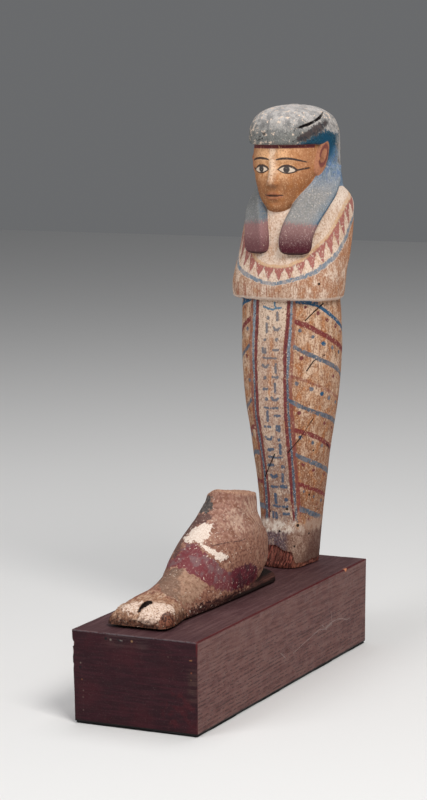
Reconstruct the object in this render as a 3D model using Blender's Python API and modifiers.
"""Ptah-Sokar-Osiris figure: a carved mummiform figure and a small headless falcon on one plain block.

World frame, in metres: the origin is at the middle of the block's underside, +Z is up, the
figure faces -Y and stands near the back of the block, and the falcon lies in front of it.
"""

import math

import bmesh
import bpy
from mathutils import Matrix, Vector

# Driving sizes of the block
BASE_WIDTH = 0.111
BASE_HEIGHT = 0.076
BASE_TAPER = 0.0009
BASE_EDGE = 0.0010
FRONT_MARGIN = 0.0165
BACK_MARGIN = 0.0125

# Driving sizes of the figure
FIGURE_HEIGHT = 0.402
FIGURE_TURN = math.radians(-5.0)
FIGURE_LEAN = math.radians(0.67)

# Driving sizes of the falcon
FALCON_LENGTH = 0.223
FALCON_TO_FOOT = 0.028
FALCON_ASIDE = -0.005
PLATE_THICKNESS = 0.0065
PLATE_UNDERCUT = 0.0013

# Gap left between pieces that touch
TOUCH_GAP = 0.0003

# The figure is set out on a grid of this many units from sole to crown
FIGURE_GRID = 402.0
SOLE_FRONT = -30.0
SOLE_BACK = 25.5

# The falcon is set out on a grid of this many units from tail to the end of its plate
FALCON_GRID = 223.0

# Rows of one carved mass, in grid units: height, half width, y of the widest line, front y,
# back y, then how boxy the front and the back halves are (2 is a plain ellipse)
LEG_ROWS = (
    (0.0, 20.2, -2.0, SOLE_FRONT, SOLE_BACK, 3.4, 3.0),
    (6.0, 20.8, -2.0, -30.8, 25.8, 3.4, 3.0),
    (22.0, 22.3, -1.0, -30.0, 27.0, 3.0, 2.8),
    (37.0, 23.8, 0.0, -28.2, 28.0, 2.8, 2.7),
    (50.0, 25.3, 0.4, -27.8, 28.5, 2.6, 2.6),
    (76.0, 29.3, 0.2, -28.8, 29.2, 2.4, 2.5),
    (99.0, 32.8, -0.5, -30.2, 29.6, 2.4, 2.4),
    (124.0, 36.9, -0.4, -31.4, 30.5, 2.4, 2.4),
    (148.0, 41.4, -1.2, -32.2, 30.8, 2.4, 2.4),
    (187.0, 44.8, -0.8, -32.5, 31.0, 2.4, 2.4),
    (212.0, 44.8, -1.2, -32.2, 30.0, 2.4, 2.4),
    (236.0, 44.0, -2.4, -31.6, 27.5, 2.4, 2.4),
    (256.0, 43.0, -2.4, -29.0, 26.0, 2.4, 2.4),
)
TORSO_ROWS = (
    (236.4, 43.5, -8.0, -31.0, 19.0, 2.5, 2.5),
    (238.0, 47.0, -8.4, -34.6, 22.0, 2.6, 2.5),
    (242.0, 49.8, -7.8, -37.2, 23.6, 2.6, 2.6),
    (249.0, 50.8, -6.8, -37.8, 24.6, 2.6, 2.6),
    (262.0, 51.2, -1.6, -36.2, 29.0, 2.3, 2.6),
    (275.0, 50.8, 4.0, -33.8, 33.4, 2.1, 2.7),
    (297.0, 49.0, 9.6, -32.4, 39.2, 2.0, 2.8),
    (313.0, 47.4, 13.6, -27.6, 42.5, 2.0, 2.8),
    (321.0, 45.4, 14.6, -23.5, 43.0, 2.0, 2.7),
    (328.0, 40.6, 14.8, -18.0, 42.0, 2.0, 2.5),
    (333.0, 33.5, 14.5, -11.0, 39.0, 2.0, 2.4),
    (336.0, 25.0, 14.0, -4.0, 34.0, 2.0, 2.2),
)
FACE_ROWS = (
    (304.0, 13.0, -6.0, -19.0, 12.0, 2.0, 2.0),
    (309.0, 14.5, -8.0, -24.5, 12.0, 2.0, 2.0),
    (312.5, 16.2, -9.0, -30.0, 12.0, 2.0, 2.0),
    (318.0, 19.4, -9.0, -33.0, 12.0, 2.0, 2.0),
    (326.0, 23.2, -8.0, -34.2, 12.0, 2.1, 2.0),
    (338.0, 27.4, -7.0, -35.0, 12.0, 2.2, 2.0),
    (350.0, 29.4, -6.0, -35.4, 12.0, 2.3, 2.0),
    (362.0, 30.0, -4.0, -35.4, 14.0, 2.3, 2.0),
    (374.0, 30.0, -2.0, -34.0, 14.0, 2.3, 2.0),
)
WIG_CAP_ROWS = (
    (368.6, 32.2, 2.8, -36.8, 43.0, 2.3, 2.3),
    (369.4, 34.2, 2.8, -39.8, 45.4, 2.3, 2.3),
    (373.0, 35.0, 2.8, -41.6, 46.8, 2.3, 2.3),
    (381.0, 34.4, 2.4, -41.4, 45.4, 2.3, 2.3),
    (389.5, 31.6, 2.0, -38.6, 41.4, 2.2, 2.2),
    (395.5, 25.8, 1.6, -32.4, 33.8, 2.1, 2.1),
    (399.4, 18.4, 1.4, -22.0, 25.0, 2.0, 2.0),
    (401.4, 9.0, 1.2, -11.0, 13.0, 2.0, 2.0),
    (402.0, 3.0, 1.0, -3.0, 5.0, 2.0, 2.0),
)
WIG_BACK_ROWS = (
    (288.0, 27.0, 30.0, 16.0, 38.0, 3.2, 3.0),
    (290.0, 29.0, 31.0, 16.0, 42.0, 3.2, 3.0),
    (300.0, 31.0, 31.0, 14.0, 44.0, 3.2, 3.0),
    (318.0, 34.0, 24.0, 4.0, 46.0, 3.0, 2.8),
    (328.0, 36.0, 16.0, -6.0, 46.6, 2.8, 2.5),
    (338.0, 36.2, 9.0, -12.0, 46.6, 2.6, 2.4),
    (348.0, 35.6, 6.0, -4.0, 46.8, 2.6, 2.3),
    (360.0, 35.2, 4.0, 0.0, 47.0, 2.6, 2.3),
    (371.0, 34.2, 3.2, -1.0, 46.0, 2.6, 2.3),
)

# Rows of one lappet of the wig: height, inner edge x and y, outer edge x and y, thickness
LAPPET_ROWS = (
    (275.0, 11.0, -33.4, 32.0, -26.8, 6.5),
    (277.0, 8.4, -35.4, 35.4, -26.0, 8.5),
    (283.0, 7.6, -36.4, 37.0, -25.2, 9.5),
    (292.0, 10.0, -36.4, 36.8, -24.0, 9.5),
    (303.0, 13.0, -34.4, 37.0, -20.0, 9.5),
    (316.0, 17.0, -28.0, 39.0, -9.0, 10.0),
    (328.0, 22.0, -19.0, 37.6, 8.0, 11.0),
    (340.0, 28.0, -9.0, 35.4, 16.0, 9.0),
)
LAPPET_MIDDLE = 2.0

# Nose and ears, grid units
NOSE_ROWS = (
    (334.6, 5.2, -34.0, -39.2, -30.0, 2.0, 2.0),
    (337.0, 5.4, -34.0, -41.6, -30.0, 2.0, 2.0),
    (343.0, 3.6, -34.0, -39.6, -30.0, 2.0, 2.0),
    (353.0, 2.6, -34.0, -36.4, -30.0, 2.0, 2.0),
)
EAR_CENTRE = (33.2, 2.0, 356.0)
EAR_SIZE = (3.2, 7.0, 14.5)
EAR_TILT = math.radians(-22.0)

# Rows of the falcon's body by height: half width, widest y, back y, front y, boxiness twice
FALCON_BODY_ROWS = (
    (4.0, 20.5, 100.0, 50.0, 190.0, 2.2, 2.2),
    (9.0, 24.0, 112.0, 52.0, 207.0, 2.2, 2.0),
    (17.0, 26.6, 130.0, 56.0, 220.0, 2.2, 2.0),
    (29.0, 27.6, 140.0, 66.0, 225.0, 2.1, 2.0),
    (40.0, 27.4, 146.0, 79.0, 221.0, 2.1, 2.0),
    (50.0, 25.8, 152.0, 97.0, 211.0, 2.1, 2.0),
    (56.0, 24.2, 158.0, 108.0, 205.0, 2.1, 2.1),
    (64.0, 21.6, 166.0, 121.0, 200.0, 2.2, 2.2),
    (72.0, 19.2, 171.0, 134.0, 198.6, 2.3, 2.3),
    (79.0, 18.2, 172.0, 144.0, 197.6, 2.3, 2.3),
    (94.0, 18.2, 172.0, 147.0, 197.0, 2.3, 2.3),
)

# Stations of the falcon's tail by length: middle x, half width, height, boxiness
FALCON_TAIL_ROWS = (
    (0.0, -2.5, 22.6, 8.6, 2.6),
    (2.0, -2.5, 25.6, 12.2, 2.6),
    (7.0, -2.5, 27.6, 16.6, 2.8),
    (17.0, -1.8, 26.8, 20.0, 2.7),
    (32.0, -1.0, 24.0, 23.4, 2.5),
    (46.0, 0.0, 21.2, 26.4, 2.3),
    (62.0, 0.0, 21.4, 31.6, 2.1),
    (78.0, 0.0, 22.8, 38.0, 2.0),
    (94.0, 0.0, 23.8, 42.0, 2.0),
)

# Outline of one half of the falcon's plate: length along it and half width
PLATE_OUTLINE = (
    (8.0, 22.5),
    (30.0, 21.5),
    (52.0, 21.0),
    (90.0, 24.0),
    (135.0, 26.4),
    (190.0, 27.4),
    (199.0, 27.0),
    (206.0, 23.6),
    (213.0, 17.6),
    (219.5, 10.0),
    (223.0, 0.0),
)

# The broken neck slopes down toward the breast
STUMP_BACK_HEIGHT = 88.0
STUMP_FRONT_HEIGHT = 78.5
STUMP_MIDDLE = 170.0
STUMP_CUT_SIZE = 90.0

RING_POINTS = 40
ROW_STEPS = 2


def unit_figure():
    """Metres in one unit of the figure's grid."""
    return FIGURE_HEIGHT / FIGURE_GRID


def unit_falcon():
    """Metres in one unit of the falcon's grid."""
    return FALCON_LENGTH / FALCON_GRID


def foot_depth():
    """Depth of the figure's foot on the block."""
    return (SOLE_BACK - SOLE_FRONT) * unit_figure()


def base_length():
    """Length of the block: both pieces in a row with their margins."""
    return FRONT_MARGIN + FALCON_LENGTH + FALCON_TO_FOOT + foot_depth() + BACK_MARGIN


def figure_origin():
    """Point on the block's top that the figure's grid starts from."""
    y = base_length() / 2 - BACK_MARGIN - SOLE_BACK * unit_figure()
    return Vector((0.0, y, BASE_HEIGHT))


def falcon_origin():
    """Point on the block's top below the falcon's tail end."""
    return Vector((FALCON_ASIDE, FRONT_MARGIN - base_length() / 2, BASE_HEIGHT))


def clear_scene():
    """Empties the scene so that the script can be run again."""
    for obj in list(bpy.data.objects):
        bpy.data.objects.remove(obj, do_unlink=True)


def collection(name):
    """A collection linked to the scene."""
    made = bpy.data.collections.new(name)
    bpy.context.scene.collection.children.link(made)
    return made


def material(name, colour, roughness):
    """A Principled material of one colour."""
    made = bpy.data.materials.new(name)
    made.use_nodes = True
    shader = made.node_tree.nodes["Principled BSDF"]
    shader.inputs["Base Color"].default_value = (*colour, 1.0)
    shader.inputs["Roughness"].default_value = roughness
    shader.inputs["Metallic"].default_value = 0.0
    made.diffuse_color = (*colour, 1.0)
    return made


def blended(rows, steps):
    """Rows with evenly blended ones between them, so that the outline runs smoothly."""
    out = []
    last = len(rows) - 1
    for i in range(last):
        before = rows[max(i - 1, 0)]
        after = rows[min(i + 2, last)]
        for k in range(steps):
            t = k / steps
            out.append([catmull(p, a, b, q, t) for p, a, b, q in zip(before, rows[i], rows[i + 1], after)])
    out.append(list(rows[last]))
    return out


def catmull(p, a, b, q, t):
    """Value at t on the smooth curve through a and b."""
    return 0.5 * (2 * a + (b - p) * t + (2 * p - 5 * a + 4 * b - q) * t * t + (3 * a - p - 3 * b + q) * t**3)


def oval(row, count):
    """Points of one oval section, anticlockwise from above, starting at the front."""
    height, half, widest, front, back, boxy_front, boxy_back = row
    ring = []
    for i in range(count):
        angle = 2 * math.pi * i / count
        side = math.sin(angle)
        along = math.cos(angle)
        boxy = boxy_front if along >= 0 else boxy_back
        reach = widest - front if along >= 0 else back - widest
        x = half * math.copysign(abs(side) ** (2 / boxy), side)
        y = widest - reach * math.copysign(abs(along) ** (2 / boxy), along)
        ring.append(Vector((x, y, height)))
    return ring


def arch(station, floor, count):
    """Points of one section across the falcon's tail, flat below and arched above."""
    along, middle, half, height, boxy = station
    ring = []
    for i in range(count):
        angle = 2 * math.pi * i / count
        side = math.cos(angle)
        up = math.sin(angle)
        x = middle + half * math.copysign(abs(side) ** (2 / boxy), side)
        rise = (height - floor) * abs(up) ** (2 / boxy) if up > 0 else 0.6 * up
        ring.append(Vector((x, along, floor + rise)))
    return ring


def lappet_ring(row, count, side):
    """Points of one section of a lappet, a flat oval from its inner to its outer edge."""
    height, inner_x, inner_y, outer_x, outer_y, thick = row
    inner = Vector((inner_x, inner_y, 0))
    outer = Vector((outer_x, outer_y, 0))
    centre = (inner + outer) / 2
    reach = (outer - inner) / 2
    across = Vector((-reach.y, reach.x, 0)).normalized() * thick / 2
    ring = []
    for i in range(count):
        angle = 2 * math.pi * i / count
        a = math.copysign(abs(math.cos(angle)) ** 0.7, math.cos(angle))
        b = math.copysign(abs(math.sin(angle)) ** 0.7, math.sin(angle))
        p = centre + reach * a + across * b
        ring.append(Vector((side * p.x + LAPPET_MIDDLE, p.y, height)))
    return ring


def loft(name, rings, target, smooth=True):
    """A closed solid through rings of equal count, capped at both ends."""
    bm = bmesh.new()
    loops = [[bm.verts.new(p) for p in ring] for ring in rings]
    count = len(rings[0])
    for lower, upper in zip(loops, loops[1:]):
        for i in range(count):
            j = (i + 1) % count
            bm.faces.new((lower[i], lower[j], upper[j], upper[i]))
    bm.faces.new(loops[0][::-1])
    bm.faces.new(loops[-1])
    bmesh.ops.recalc_face_normals(bm, faces=bm.faces)
    return from_bmesh(name, bm, target, smooth)


def from_bmesh(name, bm, target, smooth):
    """An object made from a bmesh, linked to a collection."""
    mesh = bpy.data.meshes.new(name)
    bm.to_mesh(mesh)
    bm.free()
    for polygon in mesh.polygons:
        polygon.use_smooth = smooth
    obj = bpy.data.objects.new(name, mesh)
    target.objects.link(obj)
    return obj


def as_guide(obj):
    """Marks an object that only shapes another one."""
    obj.hide_render = True
    obj.display_type = "WIRE"
    return obj


def combine(obj, other, operation):
    """Joins another object to this one, or cuts it away."""
    modifier = obj.modifiers.new(f"{operation.lower()} {other.name}", "BOOLEAN")
    modifier.operation = operation
    modifier.solver = "EXACT"
    modifier.object = as_guide(other)


def build_base(target):
    """The block: a plain box, a little narrower below, with softened edges."""
    bm = bmesh.new()
    bmesh.ops.create_cube(bm, size=1.0)
    size = Vector((BASE_WIDTH, base_length(), BASE_HEIGHT))
    for vert in bm.verts:
        inset = BASE_TAPER if vert.co.z < 0 else 0.0
        vert.co.x = math.copysign(size.x / 2 - inset, vert.co.x)
        vert.co.y = math.copysign(size.y / 2 - inset, vert.co.y)
        vert.co.z = BASE_HEIGHT if vert.co.z > 0 else 0.0
    obj = from_bmesh("base", bm, target, False)
    bevel = obj.modifiers.new("softened edges", "BEVEL")
    bevel.width = BASE_EDGE
    bevel.segments = 2
    bevel.limit_method = "ANGLE"
    obj.data.materials.append(material("painted base wood", (0.09, 0.04, 0.045), 0.6))
    return obj


def place_figure(obj):
    """Turns, leans and moves a piece set out on the figure's grid to its place."""
    lean = Matrix.Shear("XY", 4, (math.tan(FIGURE_LEAN), 0.0))
    turn = Matrix.Rotation(FIGURE_TURN, 4, "Z")
    obj.data.transform(turn @ lean @ Matrix.Scale(unit_figure(), 4))
    obj.location = figure_origin()


def raised(rows):
    """Leg rows with the sole kept clear of the block by the touching gap."""
    gap = TOUCH_GAP / unit_figure()
    return [(row[0] + gap if row[0] == 0 else row[0], *row[1:]) for row in rows]


def build_ear(name, side, target):
    """One ear, a flat oval standing against the wig."""
    bm = bmesh.new()
    bmesh.ops.create_uvsphere(bm, u_segments=14, v_segments=9, radius=1.0)
    centre = Vector((side * EAR_CENTRE[0], EAR_CENTRE[1], EAR_CENTRE[2]))
    tilt = Matrix.Rotation(EAR_TILT, 4, "X")
    size = Matrix.Diagonal((*EAR_SIZE, 1.0))
    bmesh.ops.transform(bm, matrix=Matrix.Translation(centre) @ tilt @ size, verts=bm.verts)
    return from_bmesh(name, bm, target, True)


def build_figure(target, guides):
    """The mummiform figure, carved as one piece with its wig, face and ears."""
    obj = loft("figure", [oval(r, RING_POINTS) for r in blended(raised(LEG_ROWS), ROW_STEPS)], target)
    masses = [
        loft("torso and arms", [oval(r, RING_POINTS) for r in blended(TORSO_ROWS, ROW_STEPS)], guides),
        loft("face", [oval(r, 28) for r in blended(FACE_ROWS, 1)], guides),
        loft("wig back", [oval(r, 36) for r in blended(WIG_BACK_ROWS, 1)], guides),
        loft("wig cap", [oval(r, 36) for r in blended(WIG_CAP_ROWS, 1)], guides),
        loft("nose", [oval(r, 10) for r in NOSE_ROWS], guides),
    ]
    for label, side in (("left", 1), ("right", -1)):
        rings = [lappet_ring(r, 18, side) for r in blended(LAPPET_ROWS, 1)]
        masses.append(loft(f"{label} lappet", rings, guides))
        masses.append(build_ear(f"{label} ear", side, guides))
    for mass in masses:
        combine(obj, mass, "UNION")
    for piece in [obj, *masses]:
        place_figure(piece)
    obj.data.materials.append(material("painted figure wood", (0.47, 0.27, 0.14), 0.7))
    return obj


def place_falcon(obj):
    """Moves a piece set out on the falcon's grid to its place."""
    obj.data.transform(Matrix.Scale(unit_falcon(), 4))
    obj.location = falcon_origin()


def build_plate(guides):
    """The thin plate that the falcon is carved on, undercut around its lower edge."""
    gap = TOUCH_GAP / unit_falcon()
    undercut = PLATE_UNDERCUT / unit_falcon()
    top = PLATE_THICKNESS / unit_falcon()
    right = [Vector((half, along, 0)) for along, half in PLATE_OUTLINE]
    left = [Vector((-half, along, 0)) for along, half in PLATE_OUTLINE[-2::-1]]
    outline = right + left
    centre = sum(outline, Vector()) / len(outline)
    rings = []
    for height, inset in ((gap, 2 * undercut), (gap + undercut, 0.0), (top - 1.0, 0.0), (top, 0.8)):
        ring = []
        for point in outline:
            inward = (centre - point).normalized() * inset
            ring.append(point + inward + Vector((0, 0, height)))
        rings.append(ring)
    return loft("falcon plate", rings, guides, False)


def build_stump_cut(guides):
    """A block that takes the falcon's neck off along its sloping break."""
    bm = bmesh.new()
    bmesh.ops.create_cube(bm, size=STUMP_CUT_SIZE)
    slope = math.atan2(STUMP_BACK_HEIGHT - STUMP_FRONT_HEIGHT, 50.0)
    middle = (STUMP_BACK_HEIGHT + STUMP_FRONT_HEIGHT) / 2
    lift = Matrix.Translation((0, 0, STUMP_CUT_SIZE / 2))
    tilt = Matrix.Translation((0, STUMP_MIDDLE, middle)) @ Matrix.Rotation(-slope, 4, "X")
    bmesh.ops.transform(bm, matrix=tilt @ lift, verts=bm.verts)
    return from_bmesh("neck break", bm, guides, False)


def build_falcon(target, guides):
    """The headless falcon, carved as one piece with the plate below it."""
    rows = blended(FALCON_BODY_ROWS, ROW_STEPS)
    obj = loft("falcon", [oval(r, RING_POINTS) for r in rows], target)
    floor = PLATE_UNDERCUT / unit_falcon() + 1.0
    tail = loft("falcon tail", [arch(s, floor, 32) for s in blended(FALCON_TAIL_ROWS, ROW_STEPS)], guides)
    plate = build_plate(guides)
    neck_break = build_stump_cut(guides)
    combine(obj, tail, "UNION")
    combine(obj, plate, "UNION")
    combine(obj, neck_break, "DIFFERENCE")
    for piece in (obj, tail, plate, neck_break):
        place_falcon(piece)
    obj.data.materials.append(material("worn falcon wood", (0.33, 0.19, 0.11), 0.75))
    return obj


def main():
    """Builds the three pieces."""
    clear_scene()
    target = collection("ptah-sokar-osiris figure")
    guides = collection("guides")
    build_base(target)
    build_figure(target, guides)
    build_falcon(target, guides)


main()
